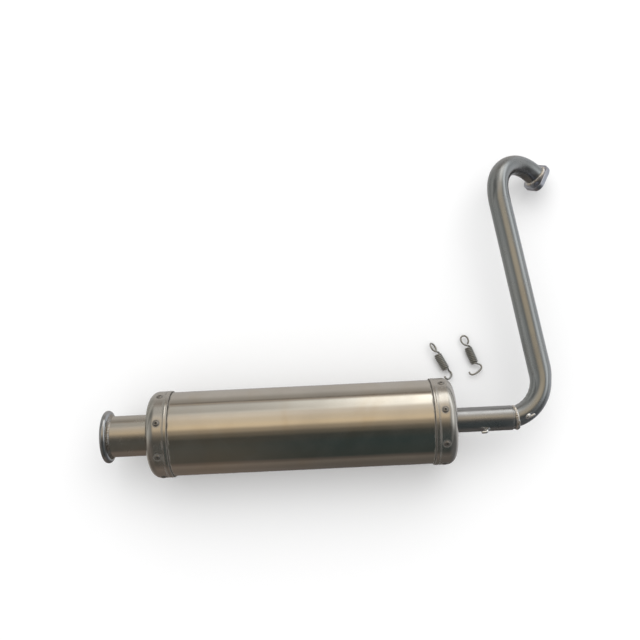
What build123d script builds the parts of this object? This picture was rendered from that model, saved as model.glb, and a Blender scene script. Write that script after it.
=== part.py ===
# Racing exhaust system: riveted straight-through silencer, bent header pipe in a
# spring-held slip joint, and the two joint springs lying loose beside it.
# Millimetres. X runs along the silencer towards the header, Y away from the
# near side, Z up from the ground that everything rests on.
import math
import os

from build123d import *

os.makedirs("parts", exist_ok=True)

# ---------------------------------------------------------------- dimensions
x_face = 130.45           # X of the inlet cap's flat face
y_axis = -152.4           # Y of the silencer's axis

can_length = 368.0        # over the flat faces of the two caps
sleeve_od = 101.6
sleeve_wall = 0.8
cap_od = 104.8
cap_wall = 1.5
cap_skirt = 27.0          # axial length of a cap, face to skirt edge
cap_corner_r = 12.0
rivet_count = 8
rivet_phase = 6.0         # degrees from straight up, towards +Y
rivet_from_face = 15.0
rivet_shank_d = 4.0
rivet_head_d = 7.2
rivet_head_h = 1.3
rivet_bulb_d = 5.4
rivet_bulb_h = 2.4
z_axis = cap_od / 2 + 1.18           # it lies on the lowest rivet heads

inlet_od = 30.0
inlet_id = 28.2
inlet_out = 72.0          # inlet tube beyond the cap face
inlet_in = 18.0           # inlet tube inside the cap

outlet_od = 50.0
outlet_id = 47.6
outlet_out = 50.0         # outlet tube beyond the cap face
outlet_in = 24.0
lip_od = 64.0
lip_width = 8.0

core_od = 47.2
core_id = 45.2
core_hole_d = 5.0
core_rows = 16
wrap_thickness = 1.6
cone_wall = 1.0

header_od = 28.0
header_id = 26.0
stub_in = 44.0            # slip engagement inside the inlet tube
mitre_x = 76.0            # mitre of stub and elbow, from the cap face
mitre_turn = 14.0         # kink at the mitre, degrees
bend1_to = 97.2           # direction after the lower bend, from +X
bend1_r = 48.5
straight_len = 234.4
bend2_turn = 129.4
bend2_r = 50.5
bend2_roll = -35.35       # upper bend's plane, rolled from the lower one's
end_len = 9.0
swivel = 3.45             # header's rise about the joint axis, degrees

flange_t = 6.0
flange_boss_r = 20.0
flange_lug_r = 8.5
flange_pitch = 46.0
flange_hole_d = 8.4

hook_rod_d = 3.4
hook_reach = 5.6          # tube surface to the far side of the arm
hook_len = 9.0
inlet_hook_x = 36.5
inlet_hook_angles = (155.0, 305.0)   # from +Y towards +Z
header_hook_turn = 28.0   # where on the lower bend, degrees
header_hook_angles = (116.0, 266.0)

wire_d = 2.2
coil_od = 10.6
coil_len = 26.0
coil_turns = 10
eye_long = 6.2            # half length of the eye, wire centre line
eye_wide = 4.8
hook_line = (             # hook's centre line, from the coil's end: along, across
    (1.5, 4.7), (4.2, 6.4), (7.0, 5.8), (9.0, 3.4), (10.4, 0.2),
    (11.3, -3.2), (11.7, -6.6), (11.2, -9.4), (9.3, -11.2), (6.8, -11.4),
)

AX = Vector(x_face, y_axis, z_axis)


def along(x):
    return Vector(x_face + x, y_axis, z_axis)


# The half planes in which the silencer's round parts are drawn: local x is the
# distance from the cap face (negative into the silencer), local y the radius.
turn = Plane(origin=AX, x_dir=(1, 0, 0), z_dir=(0, -1, 0))
turn_axis = Axis(AX, (1, 0, 0))
L = can_length

# ---------------------------------------------------------------- sleeve
sleeve_r = sleeve_od / 2
rivet_angles = [rivet_phase + i * 360 / rivet_count for i in range(rivet_count)]


def radial_plane(x, angle):
    """Plane on the axis at x whose normal points outwards at angle from +Z to +Y."""
    a = math.radians(angle)
    return Plane(origin=along(x), x_dir=(1, 0, 0), z_dir=(0, math.sin(a), math.cos(a)))


with BuildPart() as can_sleeve:
    with BuildSketch(turn):
        with Locations((-L / 2, sleeve_r - sleeve_wall / 2)):
            Rectangle(L - 2 * (cap_corner_r + 0.6), sleeve_wall)
    revolve(axis=turn_axis)
    for xr in (-rivet_from_face, -(L - rivet_from_face)):
        for a in rivet_angles:
            with BuildSketch(radial_plane(xr, a)):
                Circle(rivet_shank_d / 2 + 0.02)
            extrude(amount=cap_od, mode=Mode.SUBTRACT)
can_sleeve.part.label = "can_sleeve"


# ---------------------------------------------------------------- end caps
def cap_profile(x0, s, bore_r):
    """Half section of a pressed cap with its face at x0, skirt towards s."""
    ro = cap_od / 2
    rc = cap_corner_r
    ri = ro - cap_wall
    rci = rc - cap_wall
    k = math.sqrt(0.5)
    with BuildLine() as section:
        Line((x0, bore_r), (x0, ro - rc))
        ThreePointArc((x0, ro - rc), (x0 + s * rc * (1 - k), ro - rc * (1 - k)), (x0 + s * rc, ro))
        Line((x0 + s * rc, ro), (x0 + s * cap_skirt, ro))
        Line((x0 + s * cap_skirt, ro), (x0 + s * cap_skirt, ri))
        Line((x0 + s * cap_skirt, ri), (x0 + s * rc, ri))
        ThreePointArc((x0 + s * rc, ri), (x0 + s * (rc - rci * k), ro - rc + rci * k), (x0 + s * cap_wall, ro - rc))
        Line((x0 + s * cap_wall, ro - rc), (x0 + s * cap_wall, bore_r))
        Line((x0 + s * cap_wall, bore_r), (x0, bore_r))
    return section.edges()


with BuildPart() as inlet_cap:
    with BuildSketch(turn):
        make_face(cap_profile(0, -1, inlet_od / 2 + 0.05))
    revolve(axis=turn_axis)
    for a in rivet_angles:
        with BuildSketch(radial_plane(-rivet_from_face, a)):
            Circle(rivet_shank_d / 2 + 0.02)
        extrude(amount=cap_od, mode=Mode.SUBTRACT)
inlet_cap.part.label = "inlet_cap"

with BuildPart() as outlet_cap:
    with BuildSketch(turn):
        make_face(cap_profile(-L, 1, outlet_od / 2 + 0.05))
    revolve(axis=turn_axis)
    for a in rivet_angles:
        with BuildSketch(radial_plane(-(L - rivet_from_face), a)):
            Circle(rivet_shank_d / 2 + 0.02)
        extrude(amount=cap_od, mode=Mode.SUBTRACT)
outlet_cap.part.label = "outlet_cap"


# ---------------------------------------------------------------- rivets
def rivet_profile():
    """Half section of a blind rivet: domed head, shank, upset bulb (x out, y up)."""
    r0 = cap_od / 2 + 0.02
    rb = sleeve_r - sleeve_wall - 0.1
    hh, hd, sr, br = rivet_head_h, rivet_head_d / 2, rivet_shank_d / 2, rivet_bulb_d / 2
    with BuildLine() as section:
        Line((0, rb - rivet_bulb_h), (br - 0.8, rb - rivet_bulb_h))
        ThreePointArc((br - 0.8, rb - rivet_bulb_h), (br - 0.02, rb - rivet_bulb_h * 0.55), (br - 0.3, rb))
        Line((br - 0.3, rb), (sr, rb))
        Line((sr, rb), (sr, r0))
        Line((sr, r0), (hd, r0))
        ThreePointArc((hd, r0), (hd * 0.68, r0 + hh * 0.72), (1.3, r0 + hh))
        Line((1.3, r0 + hh), (1.15, r0 + hh - 0.6))
        Line((1.15, r0 + hh - 0.6), (0, r0 + hh - 0.6))
        Line((0, r0 + hh - 0.6), (0, rb - rivet_bulb_h))
    return section.edges()


def rivet_plane(x, angle):
    """Plane through the axis whose local y points outwards at angle from +Z to +Y."""
    a = math.radians(angle)
    return Plane(origin=along(x), x_dir=(1, 0, 0), z_dir=(0, -math.cos(a), math.sin(a)))


def rivet_line(x, angle):
    a = math.radians(angle)
    return Axis(along(x), (0, math.sin(a), math.cos(a)))


with BuildPart() as inlet_cap_rivets:
    for a in rivet_angles:
        with BuildSketch(rivet_plane(-rivet_from_face, a)):
            make_face(rivet_profile())
        revolve(axis=rivet_line(-rivet_from_face, a))
inlet_cap_rivets.part.label = "inlet_cap_rivets"

with BuildPart() as outlet_cap_rivets:
    for a in rivet_angles:
        with BuildSketch(rivet_plane(-(L - rivet_from_face), a)):
            make_face(rivet_profile())
        revolve(axis=rivet_line(-(L - rivet_from_face), a))
outlet_cap_rivets.part.label = "outlet_cap_rivets"

# ---------------------------------------------------------------- inlet side
with BuildPart() as inlet_tube:
    with BuildSketch(turn):
        with Locations(((inlet_out - inlet_in) / 2, (inlet_od + inlet_id) / 4)):
            Rectangle(inlet_out + inlet_in, (inlet_od - inlet_id) / 2)
    revolve(axis=turn_axis)
    fillet(inlet_tube.edges().filter_by(GeomType.CIRCLE).sort_by(Axis.X)[-2:].sort_by(SortBy.RADIUS)[-1:], 0.6)
inlet_tube.part.label = "inlet_tube"


def fillet_bead(x0, s, r0, leg, bulge):
    """Section of a fillet weld in the corner of a face at x0 and a tube of radius r0."""
    with BuildLine() as section:
        Line((x0, r0), (x0 + s * leg, r0))
        ThreePointArc((x0 + s * leg, r0), (x0 + s * (leg / 2 + bulge), r0 + leg / 2 + bulge), (x0, r0 + leg))
        Line((x0, r0 + leg), (x0, r0))
    return section.edges()


with BuildPart() as inlet_weld:
    with BuildSketch(turn):
        make_face(fillet_bead(0, 1, inlet_od / 2, 2.4, 0.25))
    revolve(axis=turn_axis)
inlet_weld.part.label = "inlet_weld"

cone_big = core_id / 2
with BuildPart() as inlet_cone:
    with BuildSketch(turn):
        with BuildLine():
            r1 = inlet_od / 2 + 0.05
            Polyline(
                (-6, r1),
                (-inlet_in - 4, r1),
                (-44, cone_big - cone_wall - 0.05),
                (-56, cone_big - cone_wall - 0.05),
                (-56, cone_big - 0.05),
                (-44, cone_big - 0.05),
                (-inlet_in - 4, r1 + cone_wall),
                (-6, r1 + cone_wall),
                (-6, r1),
            )
        make_face()
    revolve(axis=turn_axis)
inlet_cone.part.label = "inlet_cone"

# ---------------------------------------------------------------- core and packing
core_x0 = -46.0
core_x1 = -(L - 12.0)
with BuildPart() as core_tube:
    with BuildSketch(turn):
        with Locations(((core_x0 + core_x1) / 2, (core_od + core_id) / 4)):
            Rectangle(core_x0 - core_x1, (core_od - core_id) / 2)
    revolve(axis=turn_axis)
    for i in range(core_rows):
        xc = -70.0 - i * (L - 70.0 - 44.0) / (core_rows - 1)
        for j in range(4):
            with BuildSketch(radial_plane(xc, 45 * j + (22.5 if i % 2 else 0))):
                Circle(core_hole_d / 2)
            extrude(amount=core_od, both=True, mode=Mode.SUBTRACT)
core_tube.part.label = "core_tube"

wrap_r0 = core_od / 2 + 0.1
with BuildPart() as steel_wool_wrap:
    with BuildSketch(turn):
        with Locations(((-60.0 - (L - 34.0)) / 2, wrap_r0 + wrap_thickness / 2)):
            Rectangle(L - 94.0, wrap_thickness)
    revolve(axis=turn_axis)
steel_wool_wrap.part.label = "steel_wool_wrap"

pack_r0 = wrap_r0 + wrap_thickness + 0.1
with BuildPart() as glass_packing:
    with BuildSketch(turn):
        with BuildLine():
            Polyline(
                (-3, 17.4),
                (-3, 37),
                (-11, 45.5),
                (-20, 45.5),
                (-22, sleeve_r - sleeve_wall - 0.2),
                (-(L - 22), sleeve_r - sleeve_wall - 0.2),
                (-(L - 20), 45.5),
                (-(L - 11), 45.5),
                (-(L - 3), 37),
                (-(L - 3), pack_r0),
                (-46, pack_r0),
                (-24, 17.4),
                (-3, 17.4),
            )
        make_face()
    revolve(axis=turn_axis)
glass_packing.part.label = "glass_packing"

# ---------------------------------------------------------------- outlet side
with BuildPart() as outlet_tube:
    with BuildSketch(turn):
        with Locations((-L - (outlet_out - outlet_in) / 2, (outlet_od + outlet_id) / 4)):
            Rectangle(outlet_out + outlet_in, (outlet_od - outlet_id) / 2)
    revolve(axis=turn_axis)
outlet_tube.part.label = "outlet_tube"

with BuildPart() as outlet_weld:
    with BuildSketch(turn):
        make_face(fillet_bead(-L, -1, outlet_od / 2, 2.6, 0.25))
    revolve(axis=turn_axis)
outlet_weld.part.label = "outlet_weld"

lip_x = -L - outlet_out
with BuildPart() as outlet_lip:
    with BuildSketch(turn) as lip_sk:
        with Locations((lip_x - lip_width / 2, (lip_od + outlet_id) / 4)):
            Rectangle(lip_width, (lip_od - outlet_id) / 2)
        outer = lip_sk.vertices().sort_by(Axis.Y)[-2:]
        fillet(outer, 3.9)
        mouth = lip_sk.vertices().sort_by(Axis.Y)[:2].sort_by(Axis.X)[0]
        fillet(mouth, 2.2)
    revolve(axis=turn_axis)
outlet_lip.part.label = "outlet_lip"

with BuildPart() as lip_weld:
    with BuildSketch(turn):
        make_face(fillet_bead(lip_x, 1, outlet_od / 2, 3.6, -0.75))
    revolve(axis=turn_axis)
lip_weld.part.label = "lip_weld"

# ---------------------------------------------------------------- header path
sw = math.radians(swivel)
eX = Vector(1, 0, 0)
eN = Vector(0, math.cos(sw), math.sin(sw))        # in the lower bend's plane
eB = Vector(0, -math.sin(sw), math.cos(sw))       # normal of that plane


def heading(deg):
    a = math.radians(deg)
    return eX * math.cos(a) + eN * math.sin(a)


def inward(deg):
    a = math.radians(deg)
    return eX * -math.sin(a) + eN * math.cos(a)


p_mitre = along(mitre_x)
c1 = p_mitre + inward(mitre_turn) * bend1_r        # centre of the lower bend


def on_bend1(deg):
    return c1 - inward(deg) * bend1_r


p_b1 = on_bend1(bend1_to)
dir_s = heading(bend1_to)
p_b2 = p_b1 + dir_s * straight_len
side = inward(bend1_to) * -1
roll = math.radians(bend2_roll)
n2 = side * math.cos(roll) + eB * math.sin(roll)
c2 = p_b2 + n2 * bend2_r


def on_bend2(deg):
    a = math.radians(deg)
    return c2 - n2 * (bend2_r * math.cos(a)) + dir_s * (bend2_r * math.sin(a))


p_e = on_bend2(bend2_turn)
t2 = math.radians(bend2_turn)
dir_e = dir_s * math.cos(t2) + n2 * math.sin(t2)
p_end = p_e + dir_e * end_len

mitre_plane = Plane(origin=p_mitre, x_dir=eB, z_dir=heading(mitre_turn / 2))

with BuildPart() as header_stub:
    with BuildSketch(Plane(origin=along(inlet_out - stub_in), x_dir=eB, z_dir=eX)):
        Circle(header_od / 2)
        Circle(header_id / 2, mode=Mode.SUBTRACT)
    extrude(amount=mitre_x - inlet_out + stub_in + 6)
    split(bisect_by=mitre_plane, keep=Keep.BOTTOM)
header_stub.part.label = "header_stub"

d0 = heading(mitre_turn)
p_start = p_mitre - d0 * 6
with BuildPart() as header_tube:
    with BuildLine() as header_path:
        Line(p_start, p_mitre)
        ThreePointArc(p_mitre, on_bend1((mitre_turn + bend1_to) / 2), p_b1)
        Line(p_b1, p_b2)
        ThreePointArc(p_b2, on_bend2(bend2_turn / 2), p_e)
        Line(p_e, p_end - dir_e * 0.8)
    with BuildSketch(Plane(origin=p_start, x_dir=eB, z_dir=d0)):
        Circle(header_od / 2)
        Circle(header_id / 2, mode=Mode.SUBTRACT)
    sweep(path=header_path.wires()[0])
    split(bisect_by=mitre_plane, keep=Keep.TOP)
header_tube.part.label = "header_tube"

# Weld round the mitre: a raised ring outside both tubes.
bead_r = header_od / 2 + 0.34
with BuildPart() as mitre_weld:
    with BuildSketch(Plane(origin=p_mitre, x_dir=heading(mitre_turn / 2), z_dir=eB)):
        with BuildLine():
            Line((-1.3, bead_r), (1.3, bead_r))
            ThreePointArc((1.3, bead_r), (0, bead_r + 1.15), (-1.3, bead_r))
        make_face()
    revolve(axis=Axis(p_mitre, heading(mitre_turn / 2)))
mitre_weld.part.label = "mitre_weld"

# ---------------------------------------------------------------- flange
lug_hint = Vector(-0.15, -0.766, 0.626)
lug_dir = (lug_hint - dir_e * lug_hint.dot(dir_e)).normalized()
flange_plane = Plane(origin=p_end, x_dir=lug_dir, z_dir=dir_e)

with BuildPart() as flange:
    with BuildSketch(flange_plane.offset(-flange_t)):
        Circle(flange_boss_r)
        with Locations((flange_pitch / 2, 0), (-flange_pitch / 2, 0)):
            Circle(flange_lug_r)
        make_hull()
        Circle(header_od / 2 + 0.05, mode=Mode.SUBTRACT)
        with Locations((flange_pitch / 2, 0), (-flange_pitch / 2, 0)):
            Circle(flange_hole_d / 2, mode=Mode.SUBTRACT)
    extrude(amount=flange_t)
    rims = flange.edges().filter_by(lambda e: abs((e.center() - p_end).dot(dir_e) + flange_t) < 0.01 or abs((e.center() - p_end).dot(dir_e)) < 0.01)
    outer_rims = [e for e in rims if e.geom_type == GeomType.LINE or e.radius > 16 or abs(e.radius - flange_lug_r) < 0.01]
    chamfer(outer_rims, 0.5)
flange.part.label = "flange"

with BuildPart() as flange_weld:
    bead_pl = Plane(origin=p_end - dir_e * flange_t, x_dir=dir_e * -1, z_dir=lug_dir)
    with BuildSketch(bead_pl):
        make_face(fillet_bead(0, 1, header_od / 2 + 0.06, 2.3, 0.2))
    revolve(axis=Axis(p_end - dir_e * flange_t, dir_e))
flange_weld.part.label = "flange_weld"


# ---------------------------------------------------------------- spring hooks on the tubes
def hook_rod(foot, out, back):
    """Centre line of a bent-rod hook: stands on the tube at foot, leans over towards back."""
    rr = hook_rod_d / 2
    h = hook_reach - rr
    bend = 2.2
    k = math.sqrt(0.5)
    b = foot + out * (h - bend)
    with BuildLine() as rod:
        Line(foot - out * 1.2, b)
        ThreePointArc(b, b + out * bend * k + back * bend * (1 - k), foot + out * h + back * bend)
        Line(foot + out * h + back * bend, foot + out * h + back * (hook_len - rr))
    return rod.wires()[0]


with BuildPart() as inlet_hooks:
    for ang in inlet_hook_angles:
        a = math.radians(ang)
        out = Vector(0, math.cos(a), math.sin(a))
        foot = along(inlet_hook_x + 2.8) + out * (inlet_od / 2)
        with BuildSketch(Plane(origin=foot - out * 1.2, x_dir=eX, z_dir=out)):
            Circle(hook_rod_d / 2)
        sweep(path=hook_rod(foot, out, eX * -1))
    with BuildSketch(Plane(origin=along(0), x_dir=eB, z_dir=eX)):
        Circle(inlet_od / 2 + 0.01)
    extrude(amount=inlet_out, mode=Mode.SUBTRACT)
inlet_hooks.part.label = "inlet_hooks"

with BuildPart() as header_hooks:
    th = heading(header_hook_turn)
    nh = inward(header_hook_turn)
    for ang in header_hook_angles:
        a = math.radians(ang - swivel)
        out = nh * math.cos(a) + eB * math.sin(a)
        foot = on_bend1(header_hook_turn) + out * (header_od / 2)
        with BuildSketch(Plane(origin=foot - out * 1.2, x_dir=th, z_dir=out)):
            Circle(hook_rod_d / 2)
        sweep(path=hook_rod(foot, out, th))
    with BuildLine() as hp:
        ThreePointArc(on_bend1(mitre_turn), on_bend1((mitre_turn + 60) / 2), on_bend1(60))
    with BuildSketch(Plane(origin=on_bend1(mitre_turn), x_dir=eB, z_dir=d0)):
        Circle(header_od / 2 + 0.01)
    sweep(path=hp.wires()[0], mode=Mode.SUBTRACT)
header_hooks.part.label = "header_hooks"


# ---------------------------------------------------------------- loose springs
def spring_points(centre, yaw, roll_deg):
    """Centre line of a one-piece joint spring: eye, close-wound coil, open hook.

    yaw is the heading of the hook end in plan, roll turns the loops about the coil's axis.
    """
    rc = (coil_od - wire_d) / 2
    half = coil_len / 2
    ya, rr = math.radians(yaw), math.radians(roll_deg)
    u = Vector(math.cos(ya), math.sin(ya), 0)
    flat = Vector(-math.sin(ya), math.cos(ya), 0)
    v = flat * math.cos(rr) + Vector(0, 0, 1) * math.sin(rr)
    w = u.cross(v)
    pts = []
    ex = -half - 2.6 - eye_long
    for i in range(10):                                # eye
        d = math.radians(25 + 280 * i / 9)
        pts.append((ex + eye_long * math.cos(d), eye_wide * math.sin(d), 0.35 * (i - 5) / 5))
    steps = 10
    n = int((coil_turns + 0.25) * steps)
    a0 = math.radians(-10)
    for i in range(n + 1):                             # coil, with a smaller turn at each end
        f = i / n
        t = i / steps
        a = a0 + 2 * math.pi * t
        e = min(t, n / steps - t)
        taper = min(1.0, 0.68 + 0.32 * e / 1.2)
        lead0 = 1.5 * max(0.0, 1 - t / 0.3) ** 2
        lead1 = 1.5 * max(0.0, 1 - (n / steps - t) / 0.3) ** 2
        x = -half + wire_d / 2 + (coil_len - wire_d) * f - lead0 + lead1
        pts.append((x, rc * taper * math.sin(a), rc * taper * math.cos(a)))
    for a, b in hook_line:                             # hook
        pts.append((half + a, b, 0.0))
    return [centre + u * p[0] + v * p[1] + w * p[2] for p in pts]


spring_a_at = Vector(x_face - 0.4, y_axis + 84.5, 5.7)
spring_b_at = Vector(x_face + 39.0, y_axis + 91.5, coil_od / 2)

with BuildPart() as spring_a:
    with BuildLine() as wire_a:
        sa = Spline(*spring_points(spring_a_at, -65.0, -45.0))
    with BuildSketch(Plane(origin=sa @ 0, z_dir=sa % 0)):
        Circle(wire_d / 2)
    sweep(path=wire_a.wires()[0], is_frenet=True)
spring_a.part.label = "spring_a"

def spring_frame(centre, yaw, roll_deg):
    """Frame of a spring: x along the coil to the hook, z normal to the loops."""
    ya, rr = math.radians(yaw), math.radians(roll_deg)
    u = Vector(math.cos(ya), math.sin(ya), 0)
    v = Vector(-math.sin(ya), math.cos(ya), 0) * math.cos(rr) + Vector(0, 0, 1) * math.sin(rr)
    return Plane(origin=centre, x_dir=u, z_dir=u.cross(v)).location


with BuildPart() as spring_b:
    add(spring_a.part.moved(spring_frame(spring_b_at, -72.0, 0.0) * spring_frame(spring_a_at, -65.0, -45.0).inverse()))
spring_b.part.label = "spring_b"

# ---------------------------------------------------------------- output
pieces = [
    can_sleeve, inlet_cap, outlet_cap, inlet_cap_rivets, outlet_cap_rivets,
    inlet_tube, inlet_weld, inlet_cone, core_tube, steel_wool_wrap, glass_packing,
    outlet_tube, outlet_weld, outlet_lip, lip_weld,
    header_stub, header_tube, mitre_weld, flange, flange_weld,
    inlet_hooks, header_hooks, spring_a, spring_b,
]
for p in pieces:
    export_step(p.part, f"parts/{p.part.label}.step")
    b = p.part.bounding_box()
    print(p.part.label, len(p.part.solids()), round(p.part.volume, 1), [round(v, 2) for v in (*b.min, *b.max)])
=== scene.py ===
import math
import random

import bmesh
import bpy
import numpy as np
from mathutils import Matrix, Vector, noise


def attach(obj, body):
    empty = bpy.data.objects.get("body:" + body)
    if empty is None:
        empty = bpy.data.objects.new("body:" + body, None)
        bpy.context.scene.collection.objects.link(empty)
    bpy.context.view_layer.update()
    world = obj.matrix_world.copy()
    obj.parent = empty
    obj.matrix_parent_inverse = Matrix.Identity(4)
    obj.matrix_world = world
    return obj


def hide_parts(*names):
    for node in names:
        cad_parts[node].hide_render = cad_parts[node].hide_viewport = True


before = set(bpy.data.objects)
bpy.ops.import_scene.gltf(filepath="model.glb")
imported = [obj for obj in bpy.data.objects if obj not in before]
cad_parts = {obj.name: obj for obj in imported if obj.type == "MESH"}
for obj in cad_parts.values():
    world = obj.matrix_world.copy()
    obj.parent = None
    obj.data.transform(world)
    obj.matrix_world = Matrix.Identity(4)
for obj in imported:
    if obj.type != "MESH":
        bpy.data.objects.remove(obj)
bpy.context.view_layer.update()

scene = bpy.context.scene
scene.view_settings.view_transform = "Standard"
random.seed(7)
MM = 0.001
TAU = 2 * math.pi

# Sizes, in millimetres, in the row frame.
XF, YA, ZA = 130.45, -152.4, 53.58          # inlet cap's face, silencer axis
L = 368.0
OUT = 50.0                                  # outlet tube beyond its cap
CAP_R, SLEEVE_R, SKIRT, CORNER = 52.4, 50.8, 27.0, 12.0
RIVET_X, RIVET_N, RIVET_PHASE = 15.0, 8, math.radians(6)
rivet_angles = [RIVET_PHASE + i * TAU / RIVET_N for i in range(RIVET_N)]


def n3(x, y, z, s=0.0):
    return noise.noise(Vector((x + s, y - s, z + 2 * s)))


def smooth(a, b, v):
    t = min(1.0, max(0.0, (v - a) / (b - a)))
    return t * t * (3 - 2 * t)


# ------------------------------------------------------------------ mesh helpers
def build(name, P, u, v, wrap_u, wrap_v, caps=(), sharp=40, attrs=None, mat_index=None):
    """Grid of points P (nu, nv, 3) in mm made into a mesh; u and v are in mm for the UV map."""
    nu, nv = P.shape[:2]
    verts = (P.reshape(-1, 3) * MM).tolist()
    iu = np.arange(nu if wrap_u else nu - 1)
    iv = np.arange(nv if wrap_v else nv - 1)
    I, J = np.meshgrid(iu, iv, indexing="ij")
    I, J = I.ravel(), J.ravel()
    I2, J2 = (I + 1) % nu, (J + 1) % nv
    F = np.stack([I * nv + J, I2 * nv + J, I2 * nv + J2, I * nv + J2], 1)
    faces = F.tolist()
    uu = np.append(u, u[-1] + (u[-1] - u[-2])) if len(u) == nu else u
    vv = np.append(v, v[-1] + (v[-1] - v[-2])) if len(v) == nv else v
    UV = np.stack([
        np.stack([uu[I], vv[J]], 1), np.stack([uu[I + 1], vv[J]], 1),
        np.stack([uu[I + 1], vv[J + 1]], 1), np.stack([uu[I], vv[J + 1]], 1)], 1).reshape(-1, 2)
    uv_list = UV.tolist()
    for row in caps:                      # close an open end with a fan
        ring = [row * nv + j for j in range(nv)]
        c = len(verts)
        verts.append((np.mean([verts[k] for k in ring], axis=0)).tolist())
        for j in range(nv):
            a, b = ring[j], ring[(j + 1) % nv]
            faces.append([a, b, c] if row else [b, a, c])
            uv_list += [[uu[row], vv[j]], [uu[row], vv[j]], [uu[row], vv[j]]]
    me = bpy.data.meshes.new(name)
    me.from_pydata(verts, [], faces)
    lay = me.uv_layers.new(name="UVMap")
    lay.data.foreach_set("uv", (np.array(uv_list, dtype=np.float32) / 100.0).ravel())
    for k, arr in (attrs or {}).items():
        at = me.attributes.new(k, "FLOAT", "POINT")
        a = np.zeros(len(verts), dtype=np.float32)
        a[: nu * nv] = np.asarray(arr, dtype=np.float32).reshape(-1)
        for c, row in enumerate(caps):
            a[nu * nv + c] = a[row * nv]
        at.data.foreach_set("value", a)
    bm = bmesh.new()
    bm.from_mesh(me)
    bmesh.ops.recalc_face_normals(bm, faces=bm.faces)
    bm.to_mesh(me)
    bm.free()
    me.polygons.foreach_set("use_smooth", [True] * len(me.polygons))
    me.set_sharp_from_angle(angle=math.radians(sharp))
    ob = bpy.data.objects.new(name, me)
    scene.collection.objects.link(ob)
    return ob


def lathe(name, prof, n, dr=None, closed=True, sharp=40, attr_fn=None, dx=None):
    """Turns (x, r) points, x from the inlet cap's face, about the silencer's axis."""
    prof = np.array(prof, dtype=float)
    ph = np.arange(n) * TAU / n
    P = np.zeros((len(prof), n, 3))
    A = {}
    for i, (x, r) in enumerate(prof):
        for j, f in enumerate(ph):
            rr = r + (dr(x, f, i) if dr else 0.0)
            xx = x + (dx(x, f, i) if dx else 0.0)
            P[i, j] = (XF + xx, YA + rr * math.sin(f), ZA + rr * math.cos(f))
            if attr_fn:
                for k, val in attr_fn(x, r, f).items():
                    A.setdefault(k, np.zeros((len(prof), n)))[i, j] = val
    seg = np.hypot(np.diff(prof[:, 0]), np.diff(prof[:, 1]))
    u = np.concatenate([[0], np.cumsum(seg)])
    return build(name, P, u, ph * float(np.max(prof[:, 1])), closed, True, sharp=sharp, attrs=A)


def arc(cx, cr, rad, a0, a1, n):
    return [(cx + rad * math.cos(math.radians(a0 + (a1 - a0) * i / n)), cr + rad * math.sin(math.radians(a0 + (a1 - a0) * i / n))) for i in range(n + 1)]


def tube_mesh(name, pts, radius, n=16, taper_ends=True, attrs=None, sharp=50, rough_fn=None):
    """Round wire or rod along pts (mm), with rounded ends."""
    pts = np.array(pts, dtype=float)
    T = np.gradient(pts, axis=0)
    T /= np.linalg.norm(T, axis=1)[:, None]
    e = np.cross(T[0], [0.3, 0.5, 0.81])
    e /= np.linalg.norm(e)
    frames = []
    for t in T:
        e = e - t * e.dot(t)
        e /= np.linalg.norm(e)
        frames.append((e.copy(), np.cross(t, e)))
    rings, arcs = [], []
    s = np.concatenate([[0], np.cumsum(np.linalg.norm(np.diff(pts, axis=0), axis=1))])
    rad = np.full(len(pts), float(radius))
    cen = pts.copy()
    if taper_ends:
        k = 5
        hd = [(math.sin(math.pi / 2 * q / k), math.cos(math.pi / 2 * q / k)) for q in range(k)]
        pre = [(pts[0] - T[0] * radius * 0.7 * c, radius * max(sn, 0.12), 0) for sn, c in hd]
        post = [(pts[-1] + T[-1] * radius * 0.7 * c, radius * max(sn, 0.12), len(pts) - 1) for sn, c in reversed(hd)]
    else:
        pre, post = [], []
    seq = pre + [(cen[i], rad[i], i) for i in range(len(pts))] + post
    P = np.zeros((len(seq), n, 3))
    u = np.zeros(len(seq))
    th = np.arange(n) * TAU / n
    for i, (c, r, k) in enumerate(seq):
        a, b = frames[k]
        for j, f in enumerate(th):
            rr = r + (rough_fn(s[k], f) if rough_fn else 0)
            P[i, j] = c + a * (rr * math.cos(f)) + b * (rr * math.sin(f))
        u[i] = s[k] + (i * 1e-3)
    return build(name, P, u, th * radius, False, True, caps=(0, len(seq) - 1), sharp=sharp)


def weld(name, ring_a, ring_b, out, n, pitch_n, leg, bulge, rip, toe=0.3, seed=0.0, m=11, heat=0.4):
    """Rippled bead between two toe circles. ring_a/ring_b(f) give points in mm, out(f) the way it bulges."""
    P = np.zeros((m + 2, n, 3))
    for j in range(n):
        f = j * TAU / n
        wob = toe * n3(4 * math.cos(f), 4 * math.sin(f), 3.1, seed)
        wob2 = toe * n3(5 * math.cos(f), 5 * math.sin(f), 7.7, seed)
        A, B, o = ring_a(f, wob), ring_b(f, wob2), out(f)
        big = 1 + 0.25 * n3(3 * math.cos(f), 3 * math.sin(f), 1.3, seed)
        for i in range(m):
            t = i / (m - 1)
            arch = math.sin(math.pi * t) ** 0.8 if 0 < t < 1 else 0.0
            q = pitch_n * f / TAU + 0.55 * (2 * t - 1) ** 2 + 0.25 * n3(6 * math.cos(f), 6 * math.sin(f), 0.2, seed)
            w = q - math.floor(q)
            ridge = (1 - w) ** 1.5 if w > 0.12 else w / 0.12 * (0.88 ** 1.5)
            P[i, j] = A * (1 - t) + B * t + o * (arch * (bulge * big + rip * (ridge - 0.35)))
        P[m, j] = B - o * 0.5
        P[m + 1, j] = A - o * 0.5
    return build(name, P, np.arange(m + 2) * leg / m, np.arange(n) * TAU / n * 20, True, True, sharp=75)


# ------------------------------------------------------------------ silencer can
def waves(x, f, i=0):
    c, s = math.cos(f), math.sin(f)
    return 0.075 * n3(x / 62, c * 1.1, s * 1.1, 1.7) + 0.022 * n3(x / 21, c * 2.6, s * 2.6, 4.0)


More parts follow.
